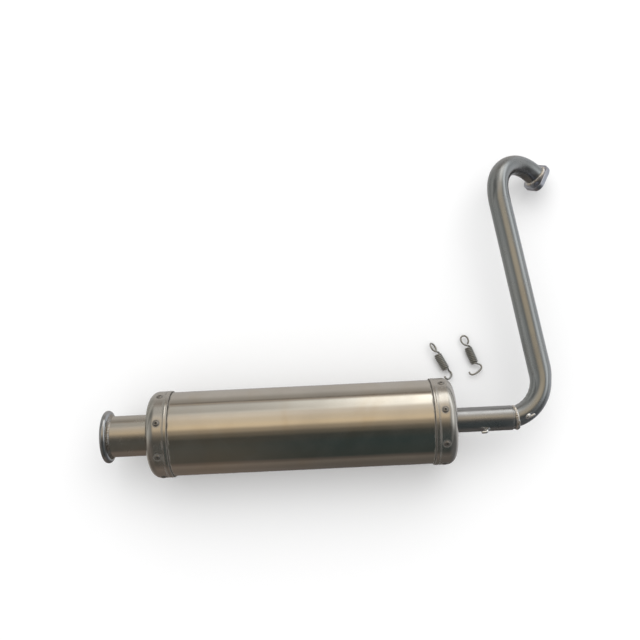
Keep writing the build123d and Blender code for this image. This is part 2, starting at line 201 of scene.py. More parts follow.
def sleeve_dr(x, f, i):
    seam = abs((f - math.radians(187) + math.pi) % TAU - math.pi) * SLEEVE_R
    d = waves(x, f)
    d += 0.45 * (1 - smooth(3.4, 4.4, seam))
    return d if x > -L + 14 and x < -14 else 0


# Painted shade with grime on the sleeve along each cap skirt's edge, darkening the seam where the parts meet.
def seam_shade_mask(x, r, f):
    d = min(abs(x + SKIRT), abs(x + L - SKIRT))
    c, s = math.cos(f), math.sin(f)
    w = 0.9 + 0.7 * max(0, n3(c * 9, s * 9, x / 400, 2.2) + 0.25)
    return {"grime": max(0.0, 1 - smooth(0.35 * w, 2.0 * w, d)) * 0.95, "heat": 0.0}


xs = list(np.linspace(-L + 12.8, -L + 30, 26)) + list(np.linspace(-L + 32, -32, 120)) + list(np.linspace(-30, -12.8, 26))
sleeve = lathe("sleeve_shell", [(x, SLEEVE_R) for x in xs] + [(-12.8, 50.0), (-L + 12.8, 50.0)], 240, sleeve_dr, attr_fn=seam_shade_mask)


def cap(name, s, x0, bore):
    """Pressed end cap: face, corner, skirt with a swaged bead and a rolled edge."""
    ri = CAP_R - 1.5
    prof = [(0, bore), (0, bore + 3), (0.0, bore + 4)] + [(0.0, r) for r in np.linspace(bore + 5, CAP_R - CORNER, 10)]
    prof += arc(CORNER, CAP_R - CORNER, CORNER, 180, 90, 22)[1:]
    prof += [(x, CAP_R) for x in np.linspace(12.6, 22.2, 20)]
    prof += [(x, CAP_R + 0.24 * math.sin(math.pi * (x - 22.2) / 2.6)) for x in np.linspace(22.45, 24.8, 9)]
    prof += [(25.2, CAP_R), (26.1, CAP_R)] + arc(26.4, CAP_R - 0.6, 0.6, 90, 0, 5)[1:]
    prof += [(27.0, SLEEVE_R + 0.35), (26.7, SLEEVE_R + 0.08), (25.5, SLEEVE_R + 0.08), (CORNER, ri)]
    prof += arc(CORNER, CAP_R - CORNER, CORNER - 1.5, 90, 180, 8)[1:]
    prof += [(1.5, bore)]
    prof = [(x0 + s * x, r) for x, r in prof]

    def dr(x, f, i):
        d = 0.7 * waves(x, f)
        a = abs(x - x0)
        if 4 < a < 24:
            for ra in rivet_angles:
                df = ((f - ra + math.pi) % TAU - math.pi) * CAP_R
                q = (df * df + (a - RIVET_X) ** 2)
                if q < 200:
                    d -= 0.34 * math.exp(-q / 26.0)
        return d if i > 4 else 0

    def at(x, r, f):
        a = abs(x - x0)
        # Painted shade with grime at the skirt's rolled edge, in the crease beside the swaged bead and in a ring round
        # each rivet head.
        g = 0.75 * smooth(26.3, 27.0, a)
        g = max(g, 0.5 * (1 - smooth(0.3, 1.6, abs(a - 21.6))) * (0.5 + n3(5 * math.cos(f), 5 * math.sin(f), x0 / 50, 9)))
        for ra in rivet_angles:
            df = ((f - ra + math.pi) % TAU - math.pi) * CAP_R
            q = math.hypot(df, a - RIVET_X)
            if r > 50 and q < 9:
                g = max(g, 0.75 * (1 - smooth(3.7, 5.6, q)))
        heat = 0.0
        if a < 2:
            heat = 1 - smooth(bore + 1.5, bore + 11, r)
        return {"grime": g, "heat": heat}

    return lathe(name, prof, 256, dr, attr_fn=at)


cap_in = cap("inlet_cap_shell", -1, 0.0, 15.05)
cap_out = cap("outlet_cap_shell", 1, -L, 25.05)


def rivets(name, x):
    """Domed blind rivets with the broken stem left in each head."""
    prof = [(0.0, 0.45), (0.55, 0.52), (0.92, 0.38), (1.0, 0.2), (1.12, 0.18), (1.2, 0.7), (1.3, 1.16), (1.5, 1.3), (2.0, 1.27), (2.6, 1.06),
            (3.1, 0.72), (3.42, 0.34), (3.6, 0.1), (3.62, -0.22), (2.0, -0.3), (2.0, -2.0), (2.5, -2.8), (2.3, -3.7), (0.0, -3.9)]
    me_all = []
    n = 28
    for k, a in enumerate(rivet_angles):
        tilt = Matrix.Rotation(random.uniform(-0.03, 0.03), 3, "X")
        out = np.array([0, math.sin(a), math.cos(a)])
        ex = np.array([1.0, 0, 0])
        ey = np.cross(out, ex)
        P = np.zeros((len(prof), n, 3))
        c = np.array([XF + x, YA, ZA]) + out * (CAP_R - 0.24)
        jit = random.uniform(0, TAU)
        for i, (r, h) in enumerate(prof):
            for j in range(n):
                f = j * TAU / n + jit
                rr = max(r, 0.02) * (1 + 0.015 * math.sin(2 * f + k))
                v = tilt @ Vector((rr * math.cos(f), rr * math.sin(f), h))
                P[i, j] = c + ex * v.x + ey * v.y + out * v.z
        g = np.zeros((len(prof), n))
        # Painted shade with grime in the broken stem's hole and round the head's rim where it meets the cap.
        g[:6] = 0.85
        g[12:15] = 0.5
        me_all.append(build(f"{name}_{k}", P, np.arange(len(prof)) * 0.8, np.arange(n) * 0.6, False, True, sharp=48, attrs={"grime": g, "heat": np.zeros((len(prof), n))}))
    return join(name, me_all)


def join(name, obs):
    bm = bmesh.new()
    for o in obs:
        bm.from_mesh(o.data)
    me = bpy.data.meshes.new(name)
    bm.to_mesh(me)
    bm.free()
    for o in obs:
        m = o.data
        bpy.data.objects.remove(o)
        bpy.data.meshes.remove(m)
    ob = bpy.data.objects.new(name, me)
    scene.collection.objects.link(ob)
    return ob


riv_in = rivets("inlet_rivet_set", -RIVET_X)
riv_out = rivets("outlet_rivet_set", -L + RIVET_X)


def ring_pt(x, r):
    def g(f, wob=0.0, x=x, r=r):
        return np.array([XF + x, YA + (r + wob) * math.sin(f), ZA + (r + wob) * math.cos(f)])
    return g


def ring_x(x, r):
    def g(f, wob=0.0, x=x, r=r):
        return np.array([XF + x + wob, YA + r * math.sin(f), ZA + r * math.cos(f)])
    return g


def diag(s):
    k = math.sqrt(0.5)
    return lambda f: np.array([s * k, k * math.sin(f), k * math.cos(f)])


w_in = weld("inlet_weld_bead", ring_pt(0.0, 17.7), ring_x(2.7, 15.0), diag(1), 640, 58, 3.4, 0.75, 0.42, seed=1.0)
w_out = weld("outlet_weld_bead", ring_pt(-L, 27.9), ring_x(-L - 2.9, 25.0), diag(-1), 900, 88, 3.6, 0.8, 0.44, seed=2.0)
w_lip = weld("lip_weld_bead", ring_pt(-L - OUT, 27.6), ring_x(-L - OUT + 3.1, 25.0), diag(1), 640, 76, 4.0, -0.25, 0.10, seed=3.0)

# Tubes and lip on the silencer.
# The inlet pipe carries painted shade with grime at its mouth and down its bore, where the header slips in.
tube_in = lathe("inlet_pipe", [(x, 15.0) for x in np.linspace(-18, 0, 4)] + [(x, 15.0) for x in np.linspace(1.5, 70.6, 60)] + arc(71.3, 14.3, 0.7, 90, 0, 5)
                + [(72.0, 14.25), (71.6, 14.1)] + [(x, 14.1) for x in np.linspace(69, -18, 12)], 128,
                lambda x, f, i: 0.035 * n3(x / 18, 1.3 * math.cos(f), 1.3 * math.sin(f), 5) if x < 71 else 0,
                attr_fn=lambda x, r, f: {"grime": 0.55 * (1 - smooth(0.2, 1.0, 72 - x)) if r > 14.5 else 0.6, "heat": 1 - smooth(2, 15, x) if r > 14.5 else 0})
tube_out = lathe("outlet_pipe", [(x, 25.0) for x in np.linspace(-L + 24, -L, 4)] + [(x, 25.0) for x in np.linspace(-L - 1.5, -L - OUT, 48)]
                 + [(-L - OUT, 23.8)] + [(x, 23.8) for x in np.linspace(-L - OUT + 2, -L + 24, 24)], 160,
                 lambda x, f, i: 0.04 * n3(x / 16, 1.6 * math.cos(f), 1.6 * math.sin(f), 6),
                 attr_fn=lambda x, r, f: {"soot": 0.0 if r > 24.4 else 0.85, "grime": 0.0, "heat": (1 - smooth(2, 16, -L - x)) if r > 24.4 else 0})
e = -L - OUT
lip_prof = [(e, 23.8)] + [(x, 23.8) for x in np.linspace(e - 1, e - 5.4, 5)] + arc(e - 5.8, 26.0, 2.2, -90, -180, 8) + [(e - 8.0, 27.4)]
lip_prof += arc(e - 4.0, 28.0, 4.0, 180, 90, 14) + arc(e - 4.0, 28.0, 4.0, 90, 0, 14)[1:] + [(e, 27.0), (e, 25.0)]
lip = lathe("rolled_lip", lip_prof, 192, lambda x, f, i: 0.05 * n3(x / 9, 1.4 * math.cos(f), 1.4 * math.sin(f), 8), sharp=50,
            attr_fn=lambda x, r, f: {"soot": (1 - smooth(24.2, 26.6, r)) * 0.8 * (0.7 + 0.6 * n3(3 * math.cos(f), 3 * math.sin(f), x / 9, 3)), "grime": 0.5 * (1 - smooth(e - 1.6, e - 0.1, x) > 1), "heat": 0})

# ------------------------------------------------------------------ header pipe
SW = math.radians(3.45)
eX = np.array([1.0, 0, 0])
eN = np.array([0, math.cos(SW), math.sin(SW)])
eB = np.array([0, -math.sin(SW), math.cos(SW)])


def heading(d):
    a = math.radians(d)
    return eX * math.cos(a) + eN * math.sin(a)


def inward(d):
    a = math.radians(d)
    return -eX * math.sin(a) + eN * math.cos(a)


R1, R2, TURN1, B1 = 48.5, 50.5, 14.0, 97.2
p_m = np.array([XF + 76.0, YA, ZA])
c1 = p_m + inward(TURN1) * R1
p_b1 = c1 - inward(B1) * R1
dir_s = heading(B1)
p_b2 = p_b1 + dir_s * 234.4
roll = math.radians(-35.35)
n2 = -inward(B1) * math.cos(roll) + eB * math.sin(roll)
c2 = p_b2 + n2 * R2


def bend2(d):
    a = math.radians(d)
    return c2 - n2 * R2 * math.cos(a) + dir_s * R2 * math.sin(a)


T2 = 129.4
dir_e = dir_s * math.cos(math.radians(T2)) + n2 * math.sin(math.radians(T2))
p_end = bend2(T2) + dir_e * 9.0

path = []                                  # point, tangent, way to the bend's centre, how far into the bend (mm) and from its end
arc1 = R1 * math.radians(B1 - TURN1)
arc2 = R2 * math.radians(T2)
for k in range(0, 72):
    d = TURN1 + (B1 - TURN1) * k / 71
    s = R1 * math.radians(d - TURN1)
    path.append((c1 - inward(d) * R1, heading(d), inward(d), min(s + 9, arc1 - s), 1))
for k in range(1, 90):
    s = 234.4 * k / 90
    f = inward(B1) if s < 117 else n2
    path.append((p_b1 + dir_s * s, dir_s, f, -min(s, 234.4 - s), 1 if s < 117 else 2))
for k in range(0, 110):
    d = T2 * k / 109
    a = math.radians(d)
    t = dir_s * math.cos(a) + n2 * math.sin(a)
    s = R2 * a
    path.append((bend2(d), t, (c2 - bend2(d)) / R2, min(s, arc2 - s), 2))
for s in (1.5, 3.0, 5.0, 7.0, 8.2):
    path.append((bend2(T2) + dir_e * s, dir_e, (c2 - bend2(T2)) / R2, -s, 2))

NS = 96
th = np.arange(NS) * TAU / NS
a0 = inward(TURN1)
e1 = a0 - path[0][1] * a0.dot(path[0][1])
outer = np.zeros((len(path), NS, 3))
inner = np.zeros((len(path), NS, 3))
grime = np.zeros((len(path), NS))
heat = np.zeros((len(path), NS))
s_all = [0.0]
for i, (p, t, f, into, which) in enumerate(path):
    if i:
        s_all.append(s_all[-1] + float(np.linalg.norm(p - path[i - 1][0])))
    e1 = e1 - t * e1.dot(t)
    e1 /= np.linalg.norm(e1)
    e2 = np.cross(t, e1)
    g = np.cross(t, f)
    w = smooth(-7, 12, into)
    mid = smooth(8, 26, into)
    for j, a in enumerate(th):
        v = e1 * math.cos(a) + e2 * math.sin(a)
        cf, cg = v.dot(f), v.dot(g)
        off = f * (-cf * 14 * (0.15 if cf < 0 else 0.015) * w) + g * (cg * 14 * 0.018 * w)
        off = off + f * (mid * 0.16 * max(0, cf) ** 3 * math.sin(s_all[-1] * TAU / 8.5))
        off = off + v * (0.05 * n3(s_all[-1] / 26, 1.2 * cf, 1.2 * cg, 11))
        outer[i, j] = p + v * 14.0 + off
        inner[i, j] = p + v * 13.0 + off
        tail = s_all[-1]
        heat[i, j] = max(1 - smooth(2, 11, tail), 0)
# The elbow starts on the mitre's plane, halfway between the two directions.
pl = heading(TURN1 / 2)
for arr in (outer, inner):
    for j in range(NS):
        d0 = heading(TURN1)
        arr[0, j] += d0 * (-(arr[0, j] - p_m).dot(pl) / d0.dot(pl))
total = s_all[-1]
for i, s in enumerate(s_all):
    heat[i, :] = np.maximum(heat[i, :], 1 - smooth(6, 20, total - s))
P = np.concatenate([outer, inner[::-1]])
zero = np.zeros_like(grime)
u = np.concatenate([s_all, [total + 1 + (total - s) for s in reversed(s_all)]])
pipe = build("header_pipe", P, u, th * 14.0, True, True, sharp=50,
             attrs={"grime": np.concatenate([grime, zero]), "heat": np.concatenate([heat, zero]), "soot": np.concatenate([zero, zero + 0.8])})


def mitre_ring(off):
    e_in = inward(TURN1 / 2)

    def g(f, wob=0.0):
        return p_m + pl * (off + wob) + e_in * (14.12 * math.cos(f)) + eB * (14.02 * math.sin(f))
    return g


w_mit = weld("mitre_weld_bead", mitre_ring(-2.3), mitre_ring(2.3), lambda f: inward(TURN1 / 2) * math.cos(f) + eB * math.sin(f), 560, 52, 4.6, 0.95, 0.42, seed=4.0)
lug = np.array([-0.15, -0.766, 0.626])
lug = lug - dir_e * lug.dot(dir_e)
lug /= np.linalg.norm(lug)
lug2 = np.cross(dir_e, lug)
base = p_end - dir_e * 6.0


def fl_ring(dist, r):
    def g(f, wob=0.0):
        return base - dir_e * dist + (lug * math.cos(f) + lug2 * math.sin(f)) * (r + wob)
    return g


k5 = math.sqrt(0.5)
w_fl = weld("flange_weld_bead", fl_ring(0.0, 16.7), fl_ring(2.7, 14.05), lambda f: (lug * math.cos(f) + lug2 * math.sin(f)) * k5 - dir_e * k5, 560, 52, 3.6, 0.7, 0.42, seed=5.0)


# ------------------------------------------------------------------ hooks
def bezier_rod(foot, out, back):
    """Bent rod: up from the tube, over, and along."""
    rr, reach, ln, bend = 1.7, 5.6, 9.0, 2.2
    h = reach - rr
    pts = [foot - out * 1.0, foot + out * 0.2, foot + out * (h - bend) * 0.6]
    for q in range(0, 9):
        a = math.pi / 2 * q / 8
        pts.append(foot + out * (h - bend + bend * math.sin(a)) + back * (bend * (1 - math.cos(a))))
    for q in range(1, 8):
        pts.append(foot + out * (h + 0.12 * q / 7) + back * (bend + (ln - rr * 2 - bend + 0.6) * q / 7))
    return pts


def blob(name, foot, out, back, seed):
    """Weld metal heaped round the rod's foot."""
    side = np.cross(out, back)
    prof = [(4.3, -1.3), (4.0, -0.55), (3.5, 0.15), (2.9, 0.75), (2.35, 1.2), (1.9, 1.45), (1.6, 1.5), (1.4, 1.2)]
    n = 48
    Pb = np.zeros((len(prof), n, 3))
    for i, (r, h) in enumerate(prof):
        for j in range(n):
            f = j * TAU / n
            lump = 0.35 * n3(1.6 * math.cos(f), 1.6 * math.sin(f), h * 0.5, seed) + 0.12 * math.cos(9 * f + h * 2)
            rr = r * (1 + 0.1 * math.cos(2 * f)) + lump
            drop = rr * rr * (math.sin(f) ** 2) / 30.0
            Pb[i, j] = foot + back * (rr * math.cos(f)) + side * (rr * math.sin(f)) + out * (h - drop)
    return build(name, Pb, np.arange(len(prof)) * 0.7, np.arange(n) * 0.4, False, True, sharp=60)


def hook(name, foot, out, back, seed):
    rod = tube_mesh(name + "_rod", bezier_rod(foot, out, back), 1.7, 20, rough_fn=lambda s, f: 0.02 * n3(s / 2, math.cos(f), math.sin(f), seed))
    return [rod, blob(name + "_blob", foot, out, back, seed)]


ih = []
for k, ang in enumerate((155.0, 305.0)):
    a = math.radians(ang)
    o = np.array([0, math.cos(a), math.sin(a)])
    ih += hook(f"ih{k}", np.array([XF + 39.3, YA, ZA]) + o * 15.0, o, -eX, 1.0 + k)
inlet_hooks = join("inlet_hook_rods", ih)
hh = []
tH, nH = heading(28.0), inward(28.0)
pH = c1 - nH * R1
for k, ang in enumerate((116.0, 266.0)):
    a = math.radians(ang - 3.45)
    o = nH * math.cos(a) + eB * math.sin(a)
    sink = 14.0 * (1 - 0.15 * max(0, -math.cos(a)) ** 2)
    hh += hook(f"hh{k}", pH + o * sink, o, tH, 5.0 + k)
header_hooks = join("header_hook_rods", hh)


# ------------------------------------------------------------------ springs
def spring_line(centre, yaw, roll_deg):
    wire, coil_od, turns, half = 2.2, 10.6, 10, 13.0
    rc = (coil_od - wire) / 2
    ya, rr = math.radians(yaw), math.radians(roll_deg)
    u_ = np.array([math.cos(ya), math.sin(ya), 0])
    flat = np.array([-math.sin(ya), math.cos(ya), 0])
    v_ = flat * math.cos(rr) + np.array([0, 0, 1.0]) * math.sin(rr)
    w_ = np.cross(u_, v_)
    pts = []
    ex = -half - 2.6 - 6.2
    for i in range(10):
        d = math.radians(25 + 280 * i / 9)
        pts.append((ex + 6.2 * math.cos(d), 4.8 * math.sin(d), 0.35 * (i - 5) / 5))
    steps = 10
    n = int((turns + 0.25) * steps)
    a0 = math.radians(-10)
    for i in range(n + 1):
        f = i / n
        t = i / steps
        a = a0 + TAU * t
        e_ = min(t, n / steps - t)
        taper = min(1.0, 0.68 + 0.32 * e_ / 1.2)
        lead0 = 1.5 * max(0.0, 1 - t / 0.3) ** 2
        lead1 = 1.5 * max(0.0, 1 - (n / steps - t) / 0.3) ** 2
        x = -half + wire / 2 + (2 * half - wire) * f - lead0 + lead1
        pts.append((x, rc * taper * math.sin(a), rc * taper * math.cos(a)))
    for a, b in ((1.5, 4.7), (4.2, 6.4), (7.0, 5.8), (9.0, 3.4), (10.4, 0.2), (11.3, -3.2), (11.7, -6.6), (11.2, -9.4), (9.3, -11.2), (6.8, -11.4)):
        pts.append((half + a, b, 0.0))
    K = np.array([np.array(centre) + u_ * p[0] + v_ * p[1] + w_ * p[2] for p in pts])
    # Natural cubic spline through the points.
    h = np.linalg.norm(np.diff(K, axis=0), axis=1)
    s = np.concatenate([[0], np.cumsum(h)])
    N = len(K)
    A = np.zeros((N, N))
    B = np.zeros((N, 3))
    A[0, 0] = A[-1, -1] = 1
    for i in range(1, N - 1):
        A[i, i - 1], A[i, i], A[i, i + 1] = h[i - 1], 2 * (h[i - 1] + h[i]), h[i]
        B[i] = 6 * ((K[i + 1] - K[i]) / h[i] - (K[i] - K[i - 1]) / h[i - 1])
    M = np.linalg.solve(A, B)
    out_ = []
    for q in np.arange(0, s[-1], 0.38):
        i = min(N - 2, int(np.searchsorted(s, q, side="right") - 1))
        a_, b_ = s[i + 1] - q, q - s[i]
        out_.append(M[i] * a_ ** 3 / (6 * h[i]) + M[i + 1] * b_ ** 3 / (6 * h[i]) + (K[i] / h[i] - M[i] * h[i] / 6) * a_ + (K[i + 1] / h[i] - M[i + 1] * h[i] / 6) * b_)
    return np.array(out_)


sp_a = tube_mesh("joint_spring_a", spring_line((XF - 0.4, YA + 84.5, 5.7), -65.0, -45.0), 1.1, 16)
sp_b = tube_mesh("joint_spring_b", spring_line((XF + 39.0, YA + 91.5, 5.3), -72.0, 0.0), 1.1, 16)


# ------------------------------------------------------------------ materials
class Mat:
    def __init__(self, name):
        self.m = bpy.data.materials.new(name)
        self.m.use_nodes = True
        self.t = self.m.node_tree
        self.b = self.t.nodes["Principled BSDF"]

    def node(self, kind, **kw):
        n = self.t.nodes.new(kind)
        for k, v in kw.items():
            setattr(n, k, v)
        return n

    def link(self, a, b):
        self.t.links.new(a, b)

    def math(self, op, a, b=None, clamp=False):
        n = self.node("ShaderNodeMath", operation=op, use_clamp=clamp)
        for i, v in enumerate((a, b)):
            if v is None:
                continue
            if isinstance(v, (int, float)):
                n.inputs[i].default_value = v
            else:
                self.link(v, n.inputs[i])
        return n.outputs[0]

    def mix(self, fac, a, b):
        n = self.node("ShaderNodeMix", data_type="RGBA")
        if isinstance(fac, (int, float)):
            n.inputs["Factor"].default_value = fac
        else:
            self.link(fac, n.inputs["Factor"])
        for s_, v in (("A", a), ("B", b)):
            if isinstance(v, tuple):
                n.inputs[s_].default_value = (*v, 1)
            else:
                self.link(v, n.inputs[s_])
        return n.outputs["Result"]

    def noise(self, vec, scale, detail=4, rough=0.55, dist=0.0):
        n = self.node("ShaderNodeTexNoise")
        n.inputs["Scale"].default_value = scale
        n.inputs["Detail"].default_value = detail
        n.inputs["Roughness"].default_value = rough
        n.inputs["Distortion"].default_value = dist
        self.link(vec, n.inputs["Vector"])
        return n.outputs["Fac"]

    def range(self, v, a, b, c, d):
        n = self.node("ShaderNodeMapRange", interpolation_type="SMOOTHSTEP")
        self.link(v, n.inputs["Value"])
        for k, x in zip(("From Min", "From Max", "To Min", "To Max"), (a, b, c, d)):
            n.inputs[k].default_value = x
        return n.outputs["Result"]

    def mapped(self, vec, scale):
        n = self.node("ShaderNodeMapping")
        n.inputs["Scale"].default_value = scale
        self.link(vec, n.inputs["Vector"])
        return n.outputs["Vector"]


def metal(name, base, rough, shade_col=(0.10, 0.085, 0.07), lines=(3.0, 260.0, 1.0), line_amt=0.05, smudge=0.10, bump=0.12, tint=None, aniso=0.0, use_uv=True, grain=900.0):
    k = Mat(name)
    obj = k.node("ShaderNodeTexCoord").outputs["Object"]
    uvn = k.node("ShaderNodeUVMap", uv_map="UVMap").outputs["UV"] if use_uv else obj
    b = k.b
    b.inputs["Metallic"].default_value = 1.0
    # Broad smears from handling, finer cloudiness, and drawn or polished lines.
    smear = k.range(k.noise(obj, 34.0, 5, 0.58, 0.6), 0.36, 0.76, 0, 1)
    cloud = k.noise(obj, 150.0, 4, 0.6)
    line = k.noise(k.mapped(uvn, lines), 6.0, 5, 0.7)
    line2 = k.range(k.noise(k.mapped(uvn, (lines[0] * 2.3, lines[1] * 0.35, 1)), 9.0, 3, 0.6), 0.60, 0.72, 0, 1)
    spots = k.range(k.noise(obj, 620.0, 2, 0.5), 0.70, 0.78, 0, 1)
    gr = k.node("ShaderNodeAttribute", attribute_name="grime").outputs["Fac"]
    ht = k.node("ShaderNodeAttribute", attribute_name="heat").outputs["Fac"]
    so = k.node("ShaderNodeAttribute", attribute_name="soot").outputs["Fac"]
    col = k.mix(k.range(k.noise(obj, 11.0, 3, 0.5), 0.35, 0.65, 0, 1), tuple(c * 0.95 for c in base), tuple(min(1, c * 1.04) for c in base))
    if tint:
        col = k.mix(k.range(k.noise(obj, 19.0, 2, 0.5, 0.6), 0.45, 0.7, 0, 0.5), col, tint)
    col = k.mix(k.math("MULTIPLY", smear, 0.10), col, tuple(c * 0.70 for c in base))
    col = k.mix(k.math("MULTIPLY", spots, 0.14), col, tuple(c * 0.45 for c in base))
    # Straw to brown to violet oxide beside the welds.
    edge = k.math("ADD", ht, k.math("MULTIPLY", k.math("SUBTRACT", cloud, 0.5), 0.35))
    rmp = k.node("ShaderNodeValToRGB")
    cr = rmp.color_ramp
    while len(cr.elements) < 5:
        cr.elements.new(0.5)
    for el, (p, c) in zip(cr.elements, ((0.0, base), (0.30, tuple(c * f for c, f in zip(base, (1.02, 0.93, 0.74)))), (0.62, tuple(c * f for c, f in zip(base, (0.86, 0.66, 0.45)))),
                                        (0.82, tuple(c * f for c, f in zip(base, (0.58, 0.46, 0.52)))), (1.0, tuple(c * f for c, f in zip(base, (0.50, 0.55, 0.66)))))):
        el.position = p
        el.color = (*c, 1)
    k.link(edge, rmp.inputs["Fac"])
    col = k.mix(k.range(edge, 0.05, 0.5, 0, 0.62), col, rmp.outputs["Color"])
    # Painted shade with grime: the vertex mask darkens the metal, roughens it and takes away its shine in joints and
    # hollows.
    shade_fac = k.math("MULTIPLY", gr, k.range(cloud, 0.3, 0.6, 0.75, 1.0), True)
    col = k.mix(shade_fac, col, shade_col)
    sfac = k.math("MULTIPLY", so, k.range(k.noise(obj, 70.0, 4, 0.6), 0.30, 0.55, 0.72, 1.0), True)
    col = k.mix(sfac, col, (0.014, 0.012, 0.011))
    k.link(col, b.inputs["Base Color"])
    r = k.math("ADD", k.math("MULTIPLY", smear, smudge), rough)
    r = k.math("ADD", r, k.math("MULTIPLY", k.math("SUBTRACT", line, 0.5), line_amt * 2))
    r = k.math("ADD", r, k.math("MULTIPLY", line2, line_amt))
    r = k.math("ADD", r, k.math("MULTIPLY", k.math("SUBTRACT", cloud, 0.5), 0.06))
    r = k.math("ADD", r, k.math("MULTIPLY", shade_fac, 0.35))
    r = k.math("ADD", r, k.math("MULTIPLY", sfac, 0.6), True)
    k.link(r, b.inputs["Roughness"])
    me_ = k.math("SUBTRACT", 1.0, k.math("MAXIMUM", k.math("MULTIPLY", sfac, 0.95), k.math("MULTIPLY", shade_fac, 0.6)), True)
    k.link(me_, b.inputs["Metallic"])
    h = k.math("ADD", k.math("MULTIPLY", line, 0.55), k.math("MULTIPLY", k.noise(obj, grain, 2, 0.5), 0.30))
    h = k.math("ADD", h, k.math("MULTIPLY", sfac, 0.8))
    bp = k.node("ShaderNodeBump")
    bp.inputs["Strength"].default_value = bump
    bp.inputs["Distance"].default_value = 0.00012
    k.link(h, bp.inputs["Height"])
    k.link(bp.outputs["Normal"], b.inputs["Normal"])
    if aniso:
        b.inputs["Anisotropic"].default_value = aniso
    return k.m


def weld_metal(name, base):
    k = Mat(name)
    obj = k.node("ShaderNodeTexCoord").outputs["Object"]
    b = k.b
    big = k.noise(obj, 210.0, 3, 0.5, 0.5)
    col = k.mix(k.range(big, 0.4, 0.62, 0, 1), base, tuple(c * f for c, f in zip(base, (0.88, 0.79, 0.68))))
    col = k.mix(k.range(k.noise(obj, 95.0, 2, 0.5), 0.55, 0.7, 0, 0.55), col, tuple(c * f for c, f in zip(base, (0.62, 0.59, 0.60))))
    k.link(col, b.inputs["Base Color"])
    b.inputs["Metallic"].default_value = 1.0
    k.link(k.range(k.noise(obj, 520.0, 3, 0.6), 0.35, 0.7, 0.18, 0.42), b.inputs["Roughness"])
    bp = k.node("ShaderNodeBump")
    bp.inputs["Strength"].default_value = 0.25
    bp.inputs["Distance"].default_value = 0.0001
    k.link(k.noise(obj, 1500.0, 3, 0.6), bp.inputs["Height"])
    k.link(bp.outputs["Normal"], b.inputs["Normal"])
    return k.m


def fibre(name, base, rough, metallic, scale):
    k = Mat(name)
    obj = k.node("ShaderNodeTexCoord").outputs["Object"]
    b = k.b
    b.inputs["Metallic"].default_value = metallic
    b.inputs["Roughness"].default_value = rough
    strand = k.noise(k.mapped(obj, (1, 5, 5)), scale, 6, 0.75, 2.0)
    k.link(k.mix(k.range(strand, 0.3, 0.7, 0, 1), tuple(c * 0.45 for c in base), base), b.inputs["Base Color"])
    bp = k.node("ShaderNodeBump")
    bp.inputs["Strength"].default_value = 0.9
    bp.inputs["Distance"].default_value = 0.0008
    k.link(strand, bp.inputs["Height"])
    k.link(bp.outputs["Normal"], b.inputs["Normal"])
    return k.m


STAINLESS = (0.66, 0.625, 0.565)
m_sleeve = metal("stainless_sheet", STAINLESS, 0.085, lines=(240.0, 2.0, 1.0), line_amt=0.022, smudge=0.075, bump=0.10, tint=(0.64, 0.57, 0.47), shade_col=(0.07, 0.06, 0.05))
m_cap = metal("stainless_pressing", (0.60, 0.57, 0.525), 0.19, lines=(150.0, 2.0, 1.0), line_amt=0.04, smudge=0.11, bump=0.13, shade_col=(0.085, 0.072, 0.06))
m_rivet = metal("rivet_satin", (0.34, 0.32, 0.295), 0.36, lines=(8.0, 8.0, 1.0), line_amt=0.08, smudge=0.1, bump=0.3, shade_col=(0.045, 0.04, 0.035))
m_out = metal("outlet_stainless", (0.60, 0.57, 0.525), 0.19, lines=(2.0, 90.0, 1.0), line_amt=0.045, smudge=0.12, bump=0.13, tint=(0.60, 0.55, 0.47))
m_pipe = metal("header_steel", (0.38, 0.393, 0.398), 0.22, lines=(1.2, 70.0, 1.0), line_amt=0.035, smudge=0.10, bump=0.09, tint=(0.40, 0.395, 0.385))
m_inpipe = metal("inlet_steel", (0.42, 0.425, 0.435), 0.27, lines=(1.2, 70.0, 1.0), line_amt=0.05, smudge=0.12, bump=0.12)
m_lip = metal("lip_polish", (0.50, 0.505, 0.515), 0.17, lines=(60.0, 1.0, 1.0), line_amt=0.05, smudge=0.12, bump=0.12)
m_flange = metal("flange_zinc", (0.50, 0.51, 0.57), 0.30, lines=(14.0, 14.0, 14.0), line_amt=0.10, smudge=0.16, bump=0.4, use_uv=False, grain=420.0, shade_col=(0.16, 0.15, 0.15))
m_hook = metal("hook_rod", (0.90, 0.90, 0.90), 0.22, lines=(2.0, 30.0, 1.0), line_amt=0.05, smudge=0.1, bump=0.2)
m_spring = metal("spring_wire", (0.46, 0.455, 0.43), 0.30, lines=(1.5, 24.0, 1.0), line_amt=0.08, smudge=0.12, bump=0.25)
m_stub = metal("stub_steel", (0.42, 0.425, 0.43), 0.22, lines=(1.2, 60.0, 1.0), use_uv=False)
m_inner = metal("core_steel", (0.30, 0.27, 0.235), 0.34, lines=(30.0, 30.0, 30.0), line_amt=0.1, smudge=0.2, bump=0.4, use_uv=False)
m_weld = weld_metal("weld_bright", (0.84, 0.84, 0.85))
# A darker copy of the weld metal for the lip weld: painted shade where the rolled lip shadows the joint.
m_weld_shaded = weld_metal("weld_painted_shade", (0.42, 0.40, 0.375))
m_wool = fibre("steel_wool_fibre", (0.34, 0.33, 0.31), 0.45, 1.0, 500.0)
m_glass = fibre("glass_wool_fibre", (0.80, 0.77, 0.62), 0.9, 0.0, 320.0)

